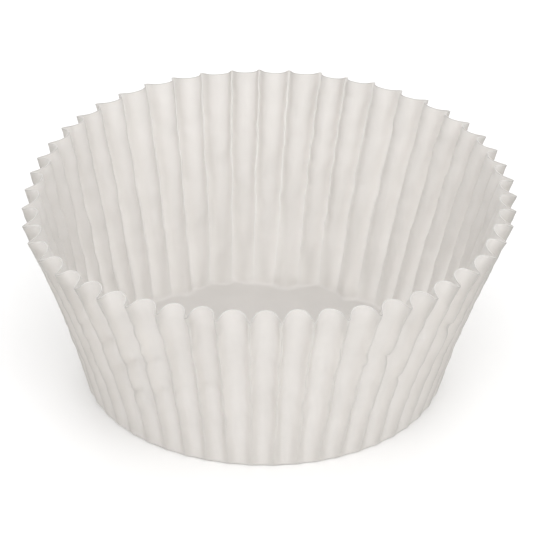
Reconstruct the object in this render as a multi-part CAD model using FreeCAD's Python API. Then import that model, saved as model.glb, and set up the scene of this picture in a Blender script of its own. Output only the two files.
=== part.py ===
import FreeCAD, Part
import math
import os

# Fluted paper baking cup, pressed from one round sheet of thin paper.
# The origin is at the middle of the underside, and +Z points out of the mouth.
# Each flute is a round lobe that bulges inwards between two sharp ridges that point outwards.
# Paper bends one way only, so a lobe is built of flat strips that run up the wall.

# Paper
paper_thickness = 0.1

# Flat base, measured across its corners
base_diameter = 50.8

# Wall: the slant is measured up the paper, and the rim across its ridges
wall_slant = 31.75
rim_diameter = 72.0
wall_bow = 0.5

# Flutes: the share is how much of the pitch the round crest of a lobe spans at the rim
flute_count = 50
rim_crest_share = 0.8
crest_strips = 8

# Values worked out from the sizes above
base_radius = base_diameter / 2
rim_radius = rim_diameter / 2
flute_angle = 2 * math.pi / flute_count
lean = math.asin((rim_radius - base_radius) / wall_slant)
up = FreeCAD.Vector(0, 0, 1)
origin = FreeCAD.Vector(0, 0, 0)


def polar(radius, angle, height):
    """Point at a radius, an angle in radians and a height."""
    return FreeCAD.Vector(radius * math.cos(angle), radius * math.sin(angle), height)


def spun(point, flutes):
    """A point carried round the axis by a number of flutes."""
    return FreeCAD.Rotation(up, 360 * flutes / flute_count).multVec(point)


def bisect(rises_past, low, high):
    """Value between low and high at which a rising test turns true."""
    while high - low > 1e-9:
        middle = (low + high) / 2
        if rises_past(middle):
            high = middle
        else:
            low = middle
    return (low + high) / 2


def ridge_radius(level):
    """Radius of the ridges at a level, 0 at the base and 1 at the rim."""
    straight = base_radius + (rim_radius - base_radius) * level
    return straight - 4 * wall_bow * level * (1 - level)


def half_pitch(level):
    """Half the straight distance from one ridge to the next."""
    return ridge_radius(level) * math.sin(flute_angle / 2)


def gather(level):
    """Length of the flat blank's ring at a level over the length it is gathered into."""
    flat_ring = (base_radius + wall_slant * level) * flute_angle
    return flat_ring / (2 * half_pitch(level))


def paper_taken(angle, share):
    """Length of a lobe over its pitch, for the slope of its flanks and the share of its crest."""
    return (1 - share) / math.cos(angle) + share * angle / math.sin(angle)


def flank_for(ratio, share):
    """Slope of the flanks at which a lobe takes up a given length of paper."""
    return bisect(lambda angle: paper_taken(angle, share) > ratio, 1e-3, math.pi / 2)


def lobe_outline(level):
    """Section of one lobe on the outside of the paper, x along the pitch and y into the cup.

    A lobe takes up the paper that the wall gathers. From the base up it is one round crest that
    steepens, and above the level where it is as steep as at the rim it grows flat flanks.
    """
    half = half_pitch(level)
    angle = min(flank_for(gather(level), 1), steepest)
    share = 1
    if level > flanks_start:
        share = (paper_taken(angle, 0) - gather(level)) / (paper_taken(angle, 0) - paper_taken(angle, 1))
    radius = share * half / math.sin(angle)
    centre = half * (1 - share) * math.tan(angle) - radius * math.cos(angle)
    outline = []
    for i in range(crest_strips + 1):
        bearing = (2 * i / crest_strips - 1) * angle
        across = radius * math.sin(bearing)
        outline.append(FreeCAD.Vector(across, centre + radius * math.cos(bearing), 0))
    if level > flanks_start:
        return [FreeCAD.Vector(-half, 0, 0)] + outline + [FreeCAD.Vector(half, 0, 0)]
    return outline


def inset(outline):
    """The same section on the inside of the paper, at its thickness from every strip.

    The two ends stay in the planes where the flanks of neighbouring lobes meet.
    """
    narrowing = math.tan(flute_angle / 2) * math.cos(lean)
    normals = [up.cross(b - a).normalize() for a, b in zip(outline, outline[1:])]
    corners = [a + b for a, b in zip(normals, normals[1:])]
    ways = [FreeCAD.Vector(narrowing, 1, 0)] + corners + [FreeCAD.Vector(-narrowing, 1, 0)]
    normals.append(normals[-1])
    return [point + way * (paper_thickness / way.dot(n)) for point, way, n in zip(outline, ways, normals)]


def level_points(level, outline):
    """A section in its place on the wall, square to the slant."""
    radius = ridge_radius(level)
    run = wall_slant * level
    height = math.sqrt(run ** 2 - (radius - base_radius) ** 2)
    middle = polar(radius * math.cos(flute_angle / 2), flute_angle / 2, height)
    along = polar(1, flute_angle / 2 + math.pi / 2, 0)
    into = polar(-math.cos(lean), flute_angle / 2, math.sin(lean))
    return [middle + along * point.x + into * point.y for point in outline]


def panel(*corners):
    """Flat face with the given corners."""
    return Part.Face(Part.makePolygon(list(corners) + [corners[0]]))


def fan(corners, points):
    """Facets from one side of the base up to the first section of its lobe."""
    middle = len(points) // 2
    facets = [panel(corners[0], corners[1], points[middle])]
    for i in range(len(points) - 1):
        foot = corners[0] if i < middle else corners[1]
        facets.append(panel(foot, points[i], points[i + 1]))
    return facets


def twisted_strips(lower, upper):
    """Strips whose two ends slope differently, each folded along its diagonal."""
    facets = []
    last = len(lower) - 1
    for i in range(last):
        if i < last / 2:
            facets.append(panel(lower[i], lower[i + 1], upper[i + 1]))
            facets.append(panel(lower[i], upper[i + 1], upper[i]))
        else:
            facets.append(panel(lower[i], lower[i + 1], upper[i]))
            facets.append(panel(lower[i + 1], upper[i + 1], upper[i]))
    return facets


def flat_strips(lower, upper):
    """Strips with parallel ends, and flanks that widen from nothing where they start."""
    if len(lower) < len(upper):
        crest = flat_strips(lower, upper[1:-1])
        flanks = [panel(lower[0], upper[1], upper[0]), panel(lower[-1], upper[-1], upper[-2])]
        return crest + flanks
    return [panel(lower[i], lower[i + 1], upper[i + 1], upper[i]) for i in range(len(lower) - 1)]


def lobe_skin(corner, outlines):
    """One side of one lobe, from its side of the base to the rim, and the points of its rim."""
    corners = [corner, spun(corner, 1)]
    sections = [level_points(level, outline) for level, outline in zip(levels, outlines)]
    facets = fan(corners, sections[0])
    facets += twisted_strips(sections[0], sections[1])
    facets += twisted_strips(sections[1], sections[2])
    facets += flat_strips(sections[2], sections[3])
    facets += flat_strips(sections[3], sections[4])
    return facets, sections[-1]


def liner():
    """The whole cup as one closed solid."""
    outer_corner = polar(base_radius, 0, 0)
    inner_radius = base_radius - paper_thickness * (1 - math.sin(lean)) / math.cos(lean)
    inner_corner = polar(inner_radius, 0, paper_thickness)
    outlines = [lobe_outline(level) for level in levels]
    outer, outer_rim = lobe_skin(outer_corner, outlines)
    inner, inner_rim = lobe_skin(inner_corner, [inset(outline) for outline in outlines])
    cut_edge = panel(*outer_rim, *reversed(inner_rim))
    flute = Part.makeCompound(outer + inner + [cut_edge])
    faces = []
    for corner in (outer_corner, inner_corner):
        faces.append(panel(*[spun(corner, i) for i in range(flute_count)]))
    for i in range(flute_count):
        faces += flute.rotated(origin, up, 360 * i / flute_count).Faces
    shell = Part.makeCompound(faces)
    shell.sewShape()
    return Part.makeSolid(Part.Shell(shell.Faces))


# Slope of the flanks at the rim, and the level where the flanks start
steepest = flank_for(gather(1), rim_crest_share)
flanks_start = bisect(lambda level: gather(level) > paper_taken(steepest, 1), 0, 1)

# Sections: two while the crest steepens, one where the flanks start, one halfway on, and the rim
levels = (0.2 * flanks_start, 0.5 * flanks_start, flanks_start, (1 + flanks_start) / 2, 1)

os.makedirs("parts", exist_ok=True)
cup = liner()
cup.exportStep("parts/liner.step")
print("valid", cup.isValid(), "volume", round(cup.Volume, 1), "faces", len(cup.Faces))
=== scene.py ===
"""Looks of a fluted paper baking cup on a pale table, in soft light.

The cup is made here the way a press makes it. A flat round sheet of paper is cut first. Its
middle stays flat, and its border is folded up into a wall, where the paper that is too long for
the narrower ring is gathered into flutes. Each flute is a round lobe that bulges inwards between
two sharp ridges that point outwards.

Lengths in the classes are millimetres, and angles are degrees unless a name says otherwise.
"""

import functools
import logging
import math
from dataclasses import dataclass
from enum import Enum
from typing import Any, Callable, Union

import bmesh
import bpy
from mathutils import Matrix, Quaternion, Vector, noise


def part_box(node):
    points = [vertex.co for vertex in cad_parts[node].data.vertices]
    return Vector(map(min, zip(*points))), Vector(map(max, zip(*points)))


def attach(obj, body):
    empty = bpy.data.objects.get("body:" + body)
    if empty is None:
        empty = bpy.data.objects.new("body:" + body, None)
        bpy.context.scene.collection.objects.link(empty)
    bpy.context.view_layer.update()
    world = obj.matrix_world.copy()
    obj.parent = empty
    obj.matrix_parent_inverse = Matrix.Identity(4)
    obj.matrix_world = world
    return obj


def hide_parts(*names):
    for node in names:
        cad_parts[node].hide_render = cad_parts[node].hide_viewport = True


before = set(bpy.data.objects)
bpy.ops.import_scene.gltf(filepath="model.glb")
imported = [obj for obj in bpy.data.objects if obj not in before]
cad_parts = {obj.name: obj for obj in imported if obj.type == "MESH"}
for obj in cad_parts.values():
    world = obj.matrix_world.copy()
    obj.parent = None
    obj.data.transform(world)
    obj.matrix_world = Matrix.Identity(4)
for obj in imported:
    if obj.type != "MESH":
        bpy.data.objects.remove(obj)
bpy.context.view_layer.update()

log = logging.getLogger("baking_cup")

MM = 0.001
FULL_TURN = 2 * math.pi

# The noise reaches about 0.6, and its kinds lie this far apart in it
NOISE_GAIN = 1.6
NOISE_APART = 37.3

Colour = tuple[float, float, float, float]
Band = tuple[float, float]


def bisect(rises_past: Callable[[float], bool], low: float, high: float) -> float:
    """Find where a rising test turns true.

    Args:
        rises_past: A test that is false below some value and true above it.
        low: A value below it.
        high: A value above it.

    Returns:
        The value at which the test turns true.
    """
    while high - low > 1e-7:
        middle = (low + high) / 2
        if rises_past(middle):
            high = middle
        else:
            low = middle
    return (low + high) / 2


def smooth_step(value: float) -> float:
    """Ease a value from 0 to 1 over its own range from 0 to 1."""
    value = min(max(value, 0.0), 1.0)
    return value * value * (3 - 2 * value)


class Unevenness(Enum):
    """What is uneven about the paper. Each kind draws from noise of its own."""

    PITCH = 1
    WOBBLE = 2
    DEPTH = 3
    LEAN = 4
    REACH = 5
    CUT = 6
    CRINKLE = 7
    FLOOR = 8

    def at(self, across: float, along: float = 0.0) -> float:
        """Look up smooth noise.

        Args:
            across: Place in one direction, in widths of a typical bump.
            along: Place in the other direction, in the same measure.

        Returns:
            A value between about -1 and 1, the same on each run.
        """
        return NOISE_GAIN * noise.noise(Vector((across, along, NOISE_APART * self.value)))


@dataclass(frozen=True)
class Play:
    """Smooth unevenness round the cup and up its wall.

    Attributes:
        kind: The noise that it draws from.
        size: About its largest value.
        stride: How far the noise moves on from one place to the next round the cup.
        height: Height of a typical bump on the wall, in millimetres.
        start: Where in the noise the bottom of the wall lies.
    """

    kind: Unevenness
    size: float
    stride: float
    height: float = math.inf
    start: float = 0.0

    def at(self, place: int, run: float = 0.0) -> float:
        """Value at a place round the cup and a distance up the wall."""
        return self.size * self.kind.at(self.stride * place, run / self.height + self.start)


@dataclass(frozen=True)
class Wave:
    """A smooth rise and fall round the cup.

    Attributes:
        order: How many times it repeats in a full turn.
        cosine: Its height at +X.
        sine: Its height a quarter of a repeat further round.
    """

    order: int
    cosine: float
    sine: float

    def at(self, angle: float) -> float:
        """Height at an angle in radians."""
        turn = self.order * angle
        return self.cosine * math.cos(turn) + self.sine * math.sin(turn)


@dataclass(frozen=True)
class Crumple:
    """A small dent that was knocked into the wall.

    Attributes:
        bearing: Angle round the cup, 0 at +X and 270 at the front.
        run: Distance up the wall from the fold at the base.
        width: Reach of the dent along the wall, round the cup.
        tallness: Reach of the dent up and down the wall.
        depth: How far it is pushed in, or out where it is below 0.
    """

    bearing: float
    run: float
    width: float
    tallness: float
    depth: float


@dataclass(frozen=True)
class Heel:
    """A stretch of the base's edge where the paper was folded up off its line.

    Attributes:
        bearing: Angle round the cup, 0 at +X and 270 at the front.
        spread: Half the width of the stretch, in degrees.
        shift: How far inside its line the fold lies, or outside it where the shift is below 0.
    """

    bearing: float
    spread: float
    shift: float


@dataclass(frozen=True)
class LobeShape:
    """Cross-section of a lobe: paper of a given length bent over a shorter pitch.

    From one ridge to the next the paper turns out of the ridge, runs up a flat flank, bends over
    a wide round crest, and comes down the same way.

    Attributes:
        ridge: Share of the paper in the half of a ridge at each end.
        flank: Share of the paper in each flank.
        ridge_steps: Number of strips in each half ridge.
        flank_steps: Number of strips in each flank.
        crest_steps: Number of strips in the crest, an even number.
        fine_steps: Number of parts in which the whole lobe is summed to find its steepness.
        strip_parts: Number of parts in which each strip is summed to find its end.
        upright: A slope, in degrees, that no lobe reaches.
    """

    ridge: float = 0.04
    flank: float = 0.15
    ridge_steps: int = 1
    flank_steps: int = 2
    crest_steps: int = 10
    fine_steps: int = 200
    strip_parts: int = 8
    upright: float = 89.0

    @property
    def steps(self) -> int:
        """Number of strips that the lobe's paper is divided into."""
        return 2 * (self.ridge_steps + self.flank_steps) + self.crest_steps

    def places(self) -> list[float]:
        """Where the strips end, as shares of the lobe's paper."""
        crest = 0.5 - self.ridge - self.flank
        half = [self.ridge * i / self.ridge_steps for i in range(self.ridge_steps)]
        half += [self.ridge + self.flank * i / self.flank_steps for i in range(self.flank_steps)]
        count = self.crest_steps
        half += [0.5 - crest * (1 - 2 * i / count) for i in range(count // 2)]
        return half + [0.5] + [1 - place for place in reversed(half)]

    def slope(self, place: float, steepest: float) -> float:
        """Slope of the paper, in radians, at a place from 0 to 1 along the lobe."""
        if place > 0.5:
            return -self.slope(1 - place, steepest)
        if place < self.ridge:
            return steepest * place / self.ridge
        crest = 0.5 - self.ridge - self.flank
        return steepest * min((0.5 - place) / crest, 1.0)

    @functools.lru_cache(maxsize=None)
    def outline(self, gather: float) -> list[tuple[float, float]]:
        """Points where the strips end.

        Args:
            gather: Length of the paper over the pitch that it spans.

        Returns:
            How far across and how deep each point lies, both as shares of the pitch.
        """
        count = self.fine_steps
        middles = [(i + 0.5) / count for i in range(count)]

        def span(steepest: float) -> float:
            """Share of its paper that a lobe spans, for the slope of its flanks."""
            return sum(math.cos(self.slope(place, steepest)) for place in middles) / count

        steepest = bisect(lambda angle: gather * span(angle) < 1, 0.0, math.radians(self.upright))
        points = []
        across = depth = 0.0
        for start, end in zip(self.places(), self.places()[1:]):
            points.append((across, max(depth, 0.0)))
            for i in range(self.strip_parts):
                place = start + (end - start) * (i + 0.5) / self.strip_parts
                slope = self.slope(place, steepest)
                across += gather * (end - start) / self.strip_parts * math.cos(slope)
                depth += gather * (end - start) / self.strip_parts * math.sin(slope)
        return points


@dataclass
class BakingCup:
    """The paper cup: a flat round sheet, pressed into a base and a fluted wall.

    The rim's width is read from the frame, and the other sizes are those of the pressed paper.
    A run is a distance up the wall along the paper, 0 at the fold and below 0 on the base. A
    level is the same as a share of the wall, from 0 at the fold to 1 at the rim.
    """

    rim_diameter: float
    base_diameter: float = 50.8
    wall_slant: float = 31.75
    wall_bow: float = 0.5
    flutes: int = 50
    thickness: float = 0.1
    fold_radius: float = 0.8

    # Rows of points: on the wall, on the flat of the base, and on the strip of the base inside
    # the fold, whose width is given. The closed middle of the sheet has a radius of its own.
    wall_rows: int = 45
    base_rows: int = 5
    heel_rows: int = 4
    heel_width: float = 3.2
    middle_radius: float = 1.5

    # Unevenness of whole flutes: their places in pitches, and their ridges in millimetres along
    # the wall and outwards
    pitch_play: Play = Play(Unevenness.PITCH, 0.055, 2.37)
    kink: Play = Play(Unevenness.WOBBLE, 0.17, 5.31, 2.1)
    sway: Play = Play(Unevenness.WOBBLE, 0.07, 3.33, 9.0, 20.0)
    reach_play: Play = Play(Unevenness.REACH, 0.14, 0.45, 11.0)

    # Unevenness of a lobe's depth and of its lean to one side, as shares
    depth_play: Play = Play(Unevenness.DEPTH, 0.07, 4.1, 6.0)
    lean_play: Play = Play(Unevenness.LEAN, 0.1, 3.7, 5.0)

    # Unevenness of the paper itself, in millimetres: its cut edge, and its crinkles
    cut_play: Play = Play(Unevenness.CUT, 0.12, 1 / 19)
    crinkle: Play = Play(Unevenness.CRINKLE, 0.085, 1 / 9, 1.9)
    fine_crinkle: Play = Play(Unevenness.CRINKLE, 0.051, 1 / 3.1, 1.1)

    # Puckers of the base: their height and width, and how far inside the fold they rise to it
    base_pucker: float = 0.12
    pucker_width: float = 9.0
    pucker_start: float = 4.0

    # How soon above the fold the paper gets uneven: 1 over the share of the wall that it takes
    ridges_loosen: float = 2.5
    pitch_loosens: float = 3.0
    lobes_loosen: float = 4.0

    # Length of paper, from the fold's inner side, over which a lobe gets its depth
    lobe_start: float = 1.6

    # How far up the wall a heel reaches
    heel_height: float = 10.0

    # How the rim stands off its round: as shares of its radius, as a shift in x and y, and as
    # flutes that crowd together, in pitches. The first grows with a power of the level, and so
    # does the unevenness of the cut edge.
    out_of_round: tuple[Wave, ...] = (
        Wave(2, -0.0194, 0.0103),
        Wave(3, 0.0062, -0.0205),
        Wave(4, -0.0092, 0.0068),
    )
    crowding: tuple[Wave, ...] = (
        Wave(1, 0.039, -0.104),
        Wave(2, 0.097, 0.075),
        Wave(3, -0.096, -0.066),
    )
    rim_shift: tuple[float, float] = (0.54, -0.4)
    rim_growth: float = 1.5
    cut_growth: int = 4

    lobe: LobeShape = LobeShape()
    crumples: tuple[Crumple, ...] = (
        Crumple(218.0, 20.5, 0.8, 0.7, 0.7),
        Crumple(225.2, 19.1, 0.8, 0.7, 0.8),
        Crumple(226.0, 13.5, 0.8, 0.7, 0.7),
        Crumple(231.9, 16.5, 0.7, 0.7, 0.8),
        Crumple(231.5, 10.5, 0.8, 0.8, 0.7),
        Crumple(238.7, 21.6, 0.8, 0.7, -0.5),
        Crumple(239.2, 18.6, 0.8, 0.6, 0.6),
        Crumple(239.5, 11.8, 0.7, 0.7, 0.55),
        Crumple(246.2, 17.8, 0.8, 0.8, 0.45),
        Crumple(246.0, 13.3, 0.7, 0.7, 0.4),
        Crumple(254.0, 15.5, 0.9, 0.8, 0.45),
        Crumple(286.3, 18.2, 0.8, 0.7, 0.45),
        Crumple(287.0, 14.2, 0.8, 0.7, -0.4),
        Crumple(294.6, 21.1, 0.8, 0.7, -0.6),
        Crumple(302.4, 19.8, 0.8, 0.7, 0.75),
        Crumple(306.5, 24.3, 0.8, 0.7, 0.5),
        Crumple(310.5, 14.0, 0.8, 0.7, 0.7),
        Crumple(313.0, 20.3, 0.8, 0.7, -0.6),
        Crumple(323.2, 20.4, 0.8, 0.7, 0.8),
        Crumple(326.6, 13.1, 0.8, 0.7, 0.7),
        Crumple(106.7, 5.0, 1.2, 0.8, 0.3),
    )
    heels: tuple[Heel, ...] = (
        Heel(117.5, 2.5, 0.8),
        Heel(107.5, 3.5, -0.9),
        Heel(99.8, 2.5, -0.8),
        Heel(83.2, 5.0, 1.3),
        Heel(72.5, 3.5, -0.9),
        Heel(60.5, 3.5, 1.2),
        Heel(40.0, 5.0, 0.6),
        Heel(148.0, 6.0, 0.6),
    )

    @property
    def base_radius(self) -> float:
        """Radius of the fold between the base and the wall."""
        return self.base_diameter / 2

    @property
    def flute_angle(self) -> float:
        """Angle of one flute, in radians."""
        return FULL_TURN / self.flutes

    @property
    def lean(self) -> float:
        """Angle of the wall from upright, in radians."""
        return math.asin((self.rim_diameter - self.base_diameter) / 2 / self.wall_slant)

    @property
    def blank_radius(self) -> float:
        """Radius of the flat sheet before it is pressed."""
        return self.base_radius + self.wall_slant

    def wall_line(self, run: float) -> tuple[float, float]:
        """Radius and height of the ridges at a distance up the wall."""
        level = run / self.wall_slant
        straight = self.base_radius + (self.rim_diameter / 2 - self.base_radius) * level
        radius = straight - 4 * self.wall_bow * level * (1 - level)
        return radius, math.sqrt(max(run * run - (radius - self.base_radius) ** 2, 0.0))

    def profile(self, run: float) -> tuple[float, float]:
        """Radius and height of the ridges, rounded where the wall leaves the base.

        Args:
            run: Distance outwards along the paper from the fold, below 0 on the base.

        Returns:
            The radius and the height.
        """
        corner = self.fold_radius
        if run >= corner:
            return self.wall_line(run)
        if run <= -corner:
            return self.base_radius + run, 0.0
        share = (run + corner) / (2 * corner)
        radius_up, height_up = self.wall_line(corner)
        near = (1 - share) ** 2
        turn = 2 * share * (1 - share)
        far = share**2
        radius = near * (self.base_radius - corner) + turn * self.base_radius + far * radius_up
        return radius, far * height_up

    @functools.cached_property
    def rings(self) -> list[float]:
        """Radii of the rings of points on the flat sheet, from its middle out."""
        corner = self.fold_radius
        flat = self.base_radius - self.heel_width - self.middle_radius
        base = [self.middle_radius + flat * i / self.base_rows for i in range(self.base_rows)]
        edge = self.heel_width - corner
        shares = [1 - i / self.heel_rows for i in range(self.heel_rows)]
        heel = [self.base_radius - corner - edge * share for share in shares]
        fold = [self.base_radius + corner * share for share in (-1.0, -0.5, 0.0, 0.5)]
        foot, rise, rows = self.base_radius + corner, self.wall_slant - corner, self.wall_rows
        wall = [foot + rise * i / rows for i in range(rows + 1)]
        return base + heel + fold + wall

    def heel_shift(self, angle: float, run: float) -> float:
        """How far inwards the fold is moved at an angle in radians, dying out up the wall."""
        total = 0.0
        for heel in self.heels:
            aside = math.remainder(math.degrees(angle) - heel.bearing, 360) / heel.spread
            total += heel.shift * math.exp(-aside * aside)
        return total * (1 - min(max(run / self.heel_height, 0.0), 1.0)) ** 2

    def ridge(self, number: int, run: float, shift: float) -> Vector:
        """Point on a ridge of the wall.

        Args:
            number: The ridge, counted from the one at +X.
            run: Distance up the wall.
            shift: How far inwards the fold below is moved.

        Returns:
            The point, in millimetres.
        """
        number %= self.flutes
        level = max(run / self.wall_slant, 0.0)
        loose = smooth_step(self.ridges_loosen * level)
        radius, height = self.profile(run + shift)
        radius -= shift
        angle = number * self.flute_angle
        turn = number + level * sum(wave.at(angle) for wave in self.crowding)
        turn += self.pitch_play.at(number) * smooth_step(self.pitch_loosens * level)
        angle = turn * self.flute_angle
        sway = (self.kink.at(number, run) + self.sway.at(number, run)) * loose
        push = self.reach_play.at(number, run) * loose
        uneven = sum(wave.at(angle) for wave in self.out_of_round)
        push += radius * uneven * level**self.rim_growth
        radius += push
        angle += sway / radius
        place = Vector((radius * math.cos(angle), radius * math.sin(angle), height))
        place += Vector((*self.rim_shift, 0.0)) * level
        if run + shift > self.fold_radius:
            foot = Vector((math.cos(angle), math.sin(angle), 0.0)) * (self.base_radius - shift)
            reach = (place - foot).xy.length
            place.z = math.sqrt(max((run + shift) ** 2 - reach * reach, 0.0))
        return place

    def into_cup(self, angle: float, run: float) -> Vector:
        """Direction in which lobes bulge at an angle in radians, square to the wall."""
        lean = self.lean * smooth_step(run / (2 * self.fold_radius))
        flat = -math.cos(lean)
        return Vector((flat * math.cos(angle), flat * math.sin(angle), math.sin(lean)))

    def dents(self, angle: float, run: float) -> float:
        """How far the crumples push the wall in at a place."""
        total = 0.0
        for crumple in self.crumples:
            aside = math.remainder(angle - math.radians(crumple.bearing), FULL_TURN)
            across = aside * (self.base_radius + self.lean * run) / crumple.width
            along = (run - crumple.run) / crumple.tallness
            total += crumple.depth * math.exp(-across * across - along * along)
        return total

    def pressed(self, ring: int, point: int) -> Vector:
        """Place of a point of the flat sheet once the cup is pressed.

        Args:
            ring: The point's ring, counted from the middle of the sheet.
            point: Its place on the ring, counted from +X.

        Returns:
            The place in millimetres.
        """
        blank_radius = self.rings[ring]
        number, step = divmod(point, self.lobe.steps)
        run = blank_radius - self.base_radius
        angle = (number + step / self.lobe.steps) * self.flute_angle
        shift = self.heel_shift(angle, run)
        if run + shift <= -self.fold_radius:
            still = smooth_step(-(run + shift) / self.pucker_start)
            place = Vector((blank_radius * math.cos(angle), blank_radius * math.sin(angle), 0.0))
            width = self.pucker_width
            pucker = 0.5 + Unevenness.FLOOR.at(place.x / width, place.y / width)
            place.z = self.base_pucker * max(pucker, 0.0) * still
            return place
        level = max(run / self.wall_slant, 0.0)
        run += self.cut_play.at(point) * level**self.cut_growth
        start, end = self.ridge(number, run, shift), self.ridge(number + 1, run, shift)
        pitch = (end - start).length
        gather = max(blank_radius * self.flute_angle / pitch, 1.0)
        across, depth = self.lobe.outline(round(gather, 3))[step]
        loose = smooth_step(self.lobes_loosen * level)
        across += self.lean_play.at(number, run) * loose * across * (1 - across)
        depth *= 1 + self.depth_play.at(number, run) * loose
        crinkle = self.crinkle.at(point, run) + self.fine_crinkle.at(point, run)
        folded = smooth_step((run + shift + self.fold_radius) / self.lobe_start)
        push = depth * pitch * folded + crinkle * loose + self.dents(angle, run)
        return start.lerp(end, across) + self.into_cup(angle, run + shift) * push

    def sheet(self) -> bmesh.types.BMesh:
        """Cut the flat round sheet: a closed middle with rings of points around it."""
        paper = bmesh.new()
        ring_of = paper.verts.layers.int.new("ring")
        points = self.flutes * self.lobe.steps
        radii = [ring * MM for ring in self.rings]
        bmesh.ops.create_circle(
            paper, cap_ends=True, cap_tris=True, segments=points, radius=radii[0]
        )
        edges = [edge for edge in paper.edges if edge.is_boundary]
        for ring in range(1, len(radii)):
            grown = bmesh.ops.extrude_edge_only(paper, edges=edges)["geom"]
            corners = [part for part in grown if isinstance(part, bmesh.types.BMVert)]
            growth = radii[ring] / radii[ring - 1]
            bmesh.ops.scale(paper, vec=(growth, growth, 1), verts=corners)
            for corner in corners:
                corner[ring_of] = ring
            sides = [part for part in grown if isinstance(part, bmesh.types.BMEdge)]
            edges = [side for side in sides if side.is_boundary]
        return paper

    def unwrap(self, paper: bmesh.types.BMesh) -> None:
        """Keep the flat sheet as the pattern's map, which fills a square from 0 to 1."""
        layer = paper.loops.layers.uv.new("flat_sheet")
        width = 2 * self.blank_radius * MM
        for face in paper.faces:
            for loop in face.loops:
                loop[layer].uv = (0.5 + loop.vert.co.x / width, 0.5 + loop.vert.co.y / width)

    def press(self, paper: bmesh.types.BMesh) -> None:
        """Move each point of the flat sheet to its place in the cup."""
        points = self.flutes * self.lobe.steps
        ring_of = paper.verts.layers.int["ring"]
        for vert in paper.verts:
            if vert.co.length > self.middle_radius * MM / 2:
                turn = math.atan2(vert.co.y, vert.co.x) / FULL_TURN
                vert.co = self.pressed(vert[ring_of], round(turn * points) % points) * MM

    def thicken(self, paper: bmesh.types.BMesh) -> None:
        """Give the sheet its thickness, on the inside of the pressed form.

        The new side is marked as the inside for the material. The cut edge at the rim stays
        sharp, and the rest is shaded smooth.
        """
        bmesh.ops.recalc_face_normals(paper, faces=paper.faces[:])
        middle = min(paper.faces, key=lambda face: face.calc_center_median().length)
        if middle.normal.z > 0:
            bmesh.ops.reverse_faces(paper, faces=paper.faces[:])
        paper.normal_update()
        inside = paper.verts.layers.float.new("inside")
        thickness = self.thickness * MM
        skin = bmesh.ops.solidify(paper, geom=paper.faces[:], thickness=thickness)["geom"]
        for part in skin:
            if isinstance(part, bmesh.types.BMVert):
                part[inside] = 1.0
        ring_of = paper.verts.layers.int["ring"]
        for face in paper.faces:
            face.smooth = True
            if all(vert[ring_of] == len(self.rings) - 1 for vert in face.verts):
                for edge in face.edges:
                    edge.smooth = False

    def build(self) -> bpy.types.Object:
        """Make the cup as one closed piece of paper."""
        paper = self.sheet()
        self.unwrap(paper)
        self.press(paper)
        self.thicken(paper)
        mesh = bpy.data.meshes.new("paper_cup")
        paper.to_mesh(mesh)
        paper.free()
        piece = bpy.data.objects.new("paper_cup", mesh)
        bpy.context.scene.collection.objects.link(piece)
        return piece


Number = Union[int, float]


class Field:
    """A number that varies over a surface, written as an expression."""

    def __init__(self, shader: "Shader", socket: bpy.types.NodeSocket) -> None:
        """Wrap a socket.

        Args:
            shader: The shader that the socket's node belongs to.
            socket: The output that carries the number.
        """
        self.shader = shader
        self.socket = socket

    def _math(self, operation: str, *values: Union["Field", Number]) -> "Field":
        """Work out an operation of Blender's Math node on some values."""
        inputs = dict(enumerate(values))
        node = self.shader.node("ShaderNodeMath", {"operation": operation}, inputs)
        return Field(self.shader, node.outputs[0])

    def __add__(self, other: Union["Field", Number]) -> "Field":
        """Sum."""
        return self._math("ADD", self, other)

    def __radd__(self, other: Number) -> "Field":
        """Sum with a number on the left."""
        return self._math("ADD", other, self)

    def __sub__(self, other: Union["Field", Number]) -> "Field":
        """Difference."""
        return self._math("SUBTRACT", self, other)

    def __rsub__(self, other: Number) -> "Field":
        """Difference from a number on the left."""
        return self._math("SUBTRACT", other, self)

    def __mul__(self, other: Union["Field", Number]) -> "Field":
        """Product."""
        return self._math("MULTIPLY", self, other)

    def __rmul__(self, other: Number) -> "Field":
        """Product with a number on the left."""
        return self._math("MULTIPLY", other, self)

    def __truediv__(self, other: Union["Field", Number]) -> "Field":
        """Quotient."""
        return self._math("DIVIDE", self, other)

    def __abs__(self) -> "Field":
        """Size without its sign."""
        return self._math("ABSOLUTE", self)

    def fraction(self) -> "Field":
        """What is left above the whole number below."""
        return self._math("FRACT", self)

    def angle_with(self, across: "Field") -> "Field":
        """Angle, in radians, of the direction whose upward part is this one."""
        return self._math("ARCTAN2", self, across)

    def fade(self, full: float, none: float) -> "Field":
        """Mask that is 1 where this is at most full and 0 where it is at least none."""
        inputs = {"Value": self, "From Min": full, "From Max": none, "To Min": 1.0, "To Max": 0.0}
        node = self.shader.node("ShaderNodeMapRange", {"interpolation_type": "SMOOTHSTEP"}, inputs)
        return Field(self.shader, node.outputs["Result"])


@dataclass(frozen=True)
class Clouds:
    """A kind of soft noise in a sheet.

    Attributes:
        size: Width of a typical patch in millimetres.
        detail: How many finer layers it has.
        seed: Where in the noise it starts.
        roughness: How strong the finer layers are.
    """

    size: float
    detail: float
    seed: float
    roughness: float = 0.55


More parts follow.
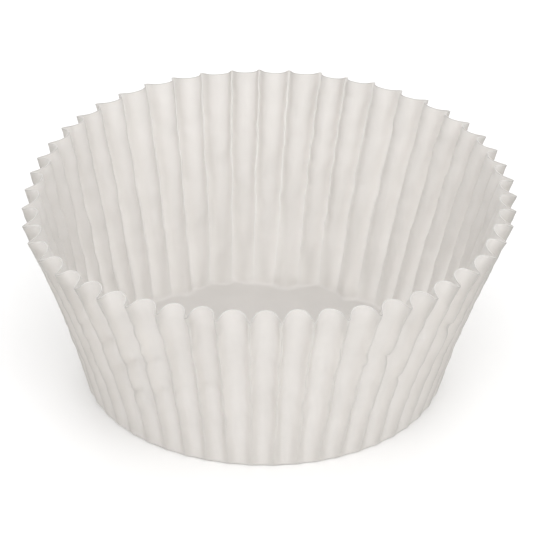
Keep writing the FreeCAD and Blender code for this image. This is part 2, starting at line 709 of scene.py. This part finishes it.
class Shader:
    """The nodes of one material."""

    def __init__(self, name: str) -> None:
        """Start an empty material with a name."""
        self.material = bpy.data.materials.new(name)
        self.material.use_nodes = True
        self.tree = self.material.node_tree
        self.tree.nodes.clear()

    def node(self, kind: str, settings: dict[str, Any], inputs: dict[Any, Any]) -> bpy.types.Node:
        """Add a node.

        Args:
            kind: Blender's name for the type of node.
            settings: The node's own settings, which are set first.
            inputs: A value, a field or a socket for each input, by its name or number.

        Returns:
            The node.
        """
        node = self.tree.nodes.new(kind)
        for name, value in settings.items():
            setattr(node, name, value)
        for name, value in inputs.items():
            source = value.socket if isinstance(value, Field) else value
            if isinstance(source, bpy.types.NodeSocket):
                self.tree.links.new(source, node.inputs[name])
            else:
                node.inputs[name].default_value = source
        return node

    def blend(self, factor: Field, first: Any, second: Any) -> bpy.types.NodeSocket:
        """Mix two colours by a field."""
        inputs = {0: factor, 6: first, 7: second}
        return self.node("ShaderNodeMix", {"data_type": "RGBA"}, inputs).outputs[2]

    def attribute(self, name: str) -> Field:
        """Read a number that the piece's mesh keeps at its points."""
        node = self.node("ShaderNodeAttribute", {"attribute_name": name}, {})
        return Field(self, node.outputs["Fac"])

    def clouds(self, place: bpy.types.NodeSocket, clouds: Clouds) -> Field:
        """Soft noise around 0.5.

        Args:
            place: Coordinates in millimetres.
            clouds: The kind of noise.

        Returns:
            The noise.
        """
        inputs = {
            "Vector": place,
            "W": clouds.seed,
            "Scale": 1 / clouds.size,
            "Detail": clouds.detail,
            "Roughness": clouds.roughness,
        }
        node = self.node("ShaderNodeTexNoise", {"noise_dimensions": "4D"}, inputs)
        return Field(self, node.outputs["Fac"])


@dataclass(frozen=True)
class BakingPaper:
    """White greaseproof paper, thin enough to glow where light comes from behind.

    Colours are linear. The sheet's clouding and fibres, the lines along its ridges and its cut
    edge follow the flat sheet that it was cut from. Outside, shade is painted along each ridge,
    darkest along its outer edge and near the rim. Inside, light is painted along each ridge as a
    pale line. A painted shade line runs along the cut edge. Lengths on the sheet are in
    millimetres, and a band is the distance from a line up to which something is at its full
    strength, and the distance at which it is gone.
    """

    # Paper where it is thin and where it is dense, light that comes through it, painted shade
    # along the ridges outside, painted light along the ridges inside, a darker painted shade line
    # along each ridge's outer edge, and painted shade along the cut edge
    pale: Colour = (0.789, 0.768, 0.748, 1.0)
    dense: Colour = (0.745, 0.725, 0.702, 1.0)
    behind: Colour = (0.968, 0.956, 0.94, 1.0)
    painted_ridge_shade: Colour = (0.45, 0.44, 0.424, 1.0)
    painted_crease_glow: Colour = (0.93, 0.915, 0.89, 1.0)
    painted_nose_shade: Colour = (0.4, 0.39, 0.375, 1.0)
    # Painted shade line along the cut edge
    cut: Colour = (0.5, 0.49, 0.475, 1.0)

    # Bands from a ridge: the paper that folding thinned, painted shade, the darker painted shade
    # line along its outer edge, the softer painted shade line that joins it on the two sides of
    # the cup, the painted light line inside, and painted shade in the notches at the rim outside
    folded_band: Band = (0.2, 1.8)
    ridge_shade_band: Band = (0.25, 1.3)
    nose_shade_band: Band = (0.12, 0.45)
    side_shade_band: Band = (0.15, 0.8)
    crease_glow_band: Band = (0.05, 0.4)
    notch_shade_band: Band = (0.5, 1.9)

    # Bands outwards from the fold: the base, and the foot of the wall
    base_band: Band = (-0.3, 1.5)
    foot_band: Band = (2.0, 12.0)

    # Bands inwards from the cut edge: painted shade that grows towards the rim, the height of the
    # painted shade in the notches at the rim, and the painted shade line along the cut edge. These
    # give where a thing starts and where it is full.
    rim_shade_band: Band = (8.0, 0.0)
    notch_shade_reach: Band = (5.0, 1.25)
    cut_shade_band: Band = (0.16, 0.08)

    # How strongly each painted shade and the painted light inside cover the paper, and how that
    # changes from place to place
    ridge_shade_cover: float = 0.42
    ridge_shade_cover_rim: float = 0.7
    ridge_shade_cover_foot: float = 0.08
    notch_shade_cover: float = 0.55
    nose_shade_cover: float = 0.85
    nose_shade_cover_foot: float = -0.6
    side_shade_cover: float = 0.3
    crease_glow_cover: float = 0.1
    crease_glow_cover_clouds: float = 0.5
    cut_shade_cover: float = 0.1
    cut_shade_cover_inside: float = 0.4

    # How much light passes through the paper, and what each thing adds to it
    see_through: float = 0.38
    see_through_fibres: float = 0.12
    see_through_folded: float = 0.34
    see_through_cut_shade: float = -0.3
    see_through_side_shade: float = -0.25

    # The sheet's unevenness, and how dense paper is made up of it
    clouding: Clouds = Clouds(5.0, 3.0, 1.0)
    fibres: Clouds = Clouds(0.7, 4.0, 5.0)
    puckers: Clouds = Clouds(1.6, 2.0, 13.0)
    grain: Clouds = Clouds(0.35, 3.0, 9.0)
    clouding_share: float = 0.75
    fibres_share: float = 0.25
    density_start: float = 0.35
    density_gain: float = 3.3

    # Surface: its gloss, and the height in metres and the strength of its fine relief
    roughness: float = 0.62
    roughness_fibres: float = 0.1
    specular: float = 0.3
    relief_height: float = 0.00006
    relief_strength: float = 0.35
    grain_share: float = 0.35

    def material(self, cup: BakingCup) -> bpy.types.Material:
        """Make the material for a cup.

        Args:
            cup: The cup, for the size of its sheet and the number of its flutes.

        Returns:
            The material.
        """
        shader = Shader("baking_paper")
        sheet = self.flat_sheet(shader, cup)
        parts = shader.node("ShaderNodeSeparateXYZ", {}, {0: sheet})
        x, y = Field(shader, parts.outputs[0]), Field(shader, parts.outputs[1])
        reach = shader.node("ShaderNodeVectorMath", {"operation": "LENGTH"}, {0: sheet})
        radius = Field(shader, reach.outputs["Value"])
        share = (y.angle_with(x) / cup.flute_angle + cup.flutes).fraction()
        from_ridge = (0.5 - abs(share - 0.5)) * radius * cup.flute_angle

        def below(band: Band) -> Field:
            """Mask of the paper below a band, which is measured outwards from the fold."""
            return radius.fade(cup.base_radius + band[0], cup.base_radius + band[1])

        def above(band: Band) -> Field:
            """Mask of the paper above a band, which is measured inwards from the cut edge."""
            return 1 - radius.fade(cup.blank_radius - band[0], cup.blank_radius - band[1])

        inside = shader.attribute("inside")
        on_wall = 1 - below(self.base_band)
        outside_wall = on_wall * (1 - inside)
        foot = below(self.foot_band)
        rim = above(self.rim_shade_band)
        # Painted shade line along the cut edge, stronger on the inside
        cut = above(self.cut_shade_band)
        folded = from_ridge.fade(*self.folded_band) * on_wall
        # Painted light: a pale line along each ridge inside, standing in for light glowing through
        # from behind
        painted_crease_glow = from_ridge.fade(*self.crease_glow_band) * on_wall * inside
        # Painted shade along the ridges outside, where their flanks turn away from the light
        painted_ridge_shade = from_ridge.fade(*self.ridge_shade_band) * outside_wall
        # Painted shade line along the outer edge of each ridge outside
        painted_nose_shade = from_ridge.fade(*self.nose_shade_band) * outside_wall
        # Painted shade line along the ridges outside, growing towards the cup's sides at +X and -X
        side = from_ridge.fade(*self.side_shade_band) * outside_wall * (abs(x) / radius)
        # Painted shade outside near the rim, in the notches between the lobes' tops
        painted_notch_shade = above(self.notch_shade_reach) * from_ridge.fade(*self.notch_shade_band) * (1 - inside)

        clouding = shader.clouds(sheet, self.clouding)
        fibres = shader.clouds(sheet, self.fibres)
        density = clouding * self.clouding_share + fibres * self.fibres_share - self.density_start
        # Strength of the painted shade along the ridges, stronger towards the rim and the foot
        ridge_shade_strength = self.ridge_shade_cover + rim * self.ridge_shade_cover_rim + foot * self.ridge_shade_cover_foot
        # Strength of the painted shade line along each ridge's outer edge, less at the foot
        marked = self.nose_shade_cover + foot * self.nose_shade_cover_foot
        crease_glow_strength = self.crease_glow_cover + clouding * self.crease_glow_cover_clouds
        cut_shade_strength = self.cut_shade_cover + inside * self.cut_shade_cover_inside
        colour = shader.blend(density * self.density_gain, self.pale, self.dense)
        # Painted shade and painted light laid over the paper's own colour
        colour = shader.blend(painted_ridge_shade * ridge_shade_strength, colour, self.painted_ridge_shade)
        colour = shader.blend(painted_notch_shade * self.notch_shade_cover, colour, self.painted_ridge_shade)
        colour = shader.blend(painted_nose_shade * marked, colour, self.painted_nose_shade)
        colour = shader.blend(side * self.side_shade_cover, colour, self.painted_nose_shade)
        colour = shader.blend(painted_crease_glow * crease_glow_strength, colour, self.painted_crease_glow)
        colour = shader.blend(cut * cut_shade_strength, colour, self.cut)

        relief = shader.clouds(sheet, self.grain) * self.grain_share
        relief = relief + shader.clouds(sheet, self.puckers)
        bump = shader.node(
            "ShaderNodeBump", {},
            {"Strength": self.relief_strength, "Distance": self.relief_height, "Height": relief},
        ).outputs[0]
        front = shader.node(
            "ShaderNodeBsdfPrincipled", {},
            {
                "Base Color": colour,
                "Roughness": self.roughness + fibres * self.roughness_fibres,
                "Specular IOR Level": self.specular,
                "Normal": bump,
            },
        ).outputs[0]
        back = shader.node("ShaderNodeBsdfTranslucent", {}, {"Color": self.behind}).outputs[0]
        thin = self.see_through + (fibres - clouding) * self.see_through_fibres
        thin = thin + folded * self.see_through_folded
        # Less light comes through where the painted shade lines run, along the cut edge and on the
        # sides
        thin = thin + cut * self.see_through_cut_shade + side * self.see_through_side_shade
        mixed = shader.node("ShaderNodeMixShader", {}, {0: thin, 1: front, 2: back}).outputs[0]
        shader.node("ShaderNodeOutputMaterial", {}, {"Surface": mixed})
        return shader.material

    def flat_sheet(self, shader: Shader, cup: BakingCup) -> bpy.types.NodeSocket:
        """Coordinates on the flat sheet in millimetres, from its middle."""
        flat = shader.node("ShaderNodeUVMap", {"uv_map": "flat_sheet"}, {}).outputs[0]
        middle = (0.5, 0.5, 0.0)
        centred = shader.node(
            "ShaderNodeVectorMath", {"operation": "SUBTRACT"}, {0: flat, 1: middle}
        ).outputs[0]
        width = 2 * cup.blank_radius
        return shader.node(
            "ShaderNodeVectorMath", {"operation": "SCALE"}, {0: centred, "Scale": width}
        ).outputs[0]


@dataclass(frozen=True)
class Lamp:
    """A soft square lamp that points at the cup.

    Attributes:
        name: The lamp's name.
        bearing: Where it stands round the cup, 0 on the camera's side and 90 to the right.
        rise: Its height over the table, as an angle.
        distance: Distance from the cup in metres.
        width: Width of the lamp in metres.
        power: Its power in watts.
    """

    name: str
    bearing: float
    rise: float
    distance: float
    width: float
    power: float

    def place(self) -> None:
        """Add the lamp."""
        bearing, rise = math.radians(self.bearing), math.radians(self.rise)
        flat = math.cos(rise)
        away = Vector((math.sin(bearing) * flat, -math.cos(bearing) * flat, math.sin(rise)))
        light = bpy.data.lights.new(self.name, "AREA")
        light.size = self.width
        light.energy = self.power
        lamp = bpy.data.objects.new(self.name, light)
        lamp.location = away * self.distance
        lamp.rotation_mode = "QUATERNION"
        lamp.rotation_quaternion = (-away).to_track_quat("-Z", "Y")
        lamp.visible_camera = False
        bpy.context.scene.collection.objects.link(lamp)


@dataclass(frozen=True)
class Viewpoint:
    """The camera, in front of the cup and looking down on it.

    Attributes:
        rise: Height over the table, as an angle seen from the middle of the base.
        distance: Distance from the middle of the base in metres.
        frame_width: Width of the photograph in pixels.
        focal_pixels: Focal length in the photograph's pixels.
        base_pixel: Where the middle of the base shows in the photograph.
        roll: How far the camera is turned about its line of sight.
        sensor_width: Width of the camera's sensor in millimetres.
        nearest: Distance in metres at which the view starts.
        farthest: Distance in metres at which it ends.
    """

    rise: float = 31.44
    distance: float = 1.016
    frame_width: float = 550.0
    focal_pixels: float = 7054.0
    base_pixel: tuple[float, float] = (264.4, 373.1)
    roll: float = 0.64
    sensor_width: float = 36.0
    nearest: float = 0.1
    farthest: float = 20.0

    def place(self) -> None:
        """Add the camera and make it the scene's."""
        rise = math.radians(self.rise)
        back = Vector((0.0, -math.cos(rise), math.sin(rise)))
        right = Vector((1.0, 0.0, 0.0))
        up = back.cross(right)
        middle = self.frame_width / 2
        aside = (middle - self.base_pixel[0]) / self.focal_pixels
        above = (self.base_pixel[1] - middle) / self.focal_pixels
        sight = right * aside + up * above - back
        data = bpy.data.cameras.new("camera")
        data.sensor_width = self.sensor_width
        data.lens = self.focal_pixels / self.frame_width * self.sensor_width
        data.clip_start = self.nearest
        data.clip_end = self.farthest
        camera = bpy.data.objects.new("camera", data)
        camera.location = back * self.distance
        camera.rotation_mode = "QUATERNION"
        spin = Quaternion((0.0, 0.0, 1.0), math.radians(self.roll))
        camera.rotation_quaternion = sight.to_track_quat("-Z", "Y") @ spin
        bpy.context.scene.collection.objects.link(camera)
        bpy.context.scene.camera = camera


@dataclass(frozen=True)
class Studio:
    """A pale table under soft light.

    Attributes:
        table_radius: Radius of the round table top in metres.
        table_gap: How far it lies below the cup, in millimetres.
        table_sides: Number of sides of its outline.
        table_colour: Its colour, linear.
        table_roughness: Its roughness.
        table_specular: How strongly it reflects.
        surround_colour: Colour of the light from all sides.
        surround: Strength of that light.
        lamps: The lamps.
    """

    table_radius: float = 3.0
    table_gap: float = 0.02
    table_sides: int = 96
    table_colour: Colour = (0.98, 0.98, 0.98, 1.0)
    table_roughness: float = 0.9
    table_specular: float = 0.1
    surround_colour: Colour = (1.0, 1.0, 1.0, 1.0)
    surround: float = 0.55
    lamps: tuple[Lamp, ...] = (
        Lamp("front_lamp", 4.0, 34.0, 1.3, 1.7, 11.8),
        Lamp("side_lamp", 72.0, 24.0, 1.3, 1.0, 1.2),
        Lamp("top_lamp", 0.0, 80.0, 1.3, 1.5, 6.9),
        Lamp("back_lamp", 180.0, 14.0, 1.3, 0.9, 7.2),
    )

    def table(self) -> bpy.types.Object:
        """Make the table top, a hair below the cup."""
        form = bmesh.new()
        bmesh.ops.create_circle(
            form, cap_ends=True, segments=self.table_sides, radius=self.table_radius
        )
        bmesh.ops.translate(form, vec=(0, 0, -self.table_gap * MM), verts=form.verts[:])
        mesh = bpy.data.meshes.new("table_top")
        form.to_mesh(mesh)
        form.free()
        top = bpy.data.objects.new("table_top", mesh)
        shader = Shader("table_top")
        surface = shader.node(
            "ShaderNodeBsdfPrincipled", {},
            {
                "Base Color": self.table_colour,
                "Roughness": self.table_roughness,
                "Specular IOR Level": self.table_specular,
            },
        ).outputs[0]
        shader.node("ShaderNodeOutputMaterial", {}, {"Surface": surface})
        mesh.materials.append(shader.material)
        bpy.context.scene.collection.objects.link(top)
        return top

    def light(self) -> None:
        """Add the surround and the lamps."""
        world = bpy.data.worlds.new("surround")
        world.use_nodes = True
        background = world.node_tree.nodes["Background"]
        background.inputs["Color"].default_value = self.surround_colour
        background.inputs["Strength"].default_value = self.surround
        bpy.context.scene.world = world
        for lamp in self.lamps:
            lamp.place()
        bpy.context.scene.view_settings.view_transform = "Standard"


def main() -> None:
    """Build the cup and its surroundings."""
    Viewpoint().place()
    low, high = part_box("liner")
    cup = BakingCup(rim_diameter=(high.x - low.x) / MM)
    piece = cup.build()
    piece.data.materials.append(BakingPaper().material(cup))
    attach(piece, "root")
    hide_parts("liner")
    corners, faces = len(piece.data.vertices), len(piece.data.polygons)
    log.info("%s has %d corners and %d faces", piece.name, corners, faces)

    studio = Studio()
    studio.table()
    studio.light()
    log.info("studio has %d lamps", len(studio.lamps))


if __name__ == "__main__":
    logging.basicConfig(level=logging.INFO, format="%(message)s")
    main()
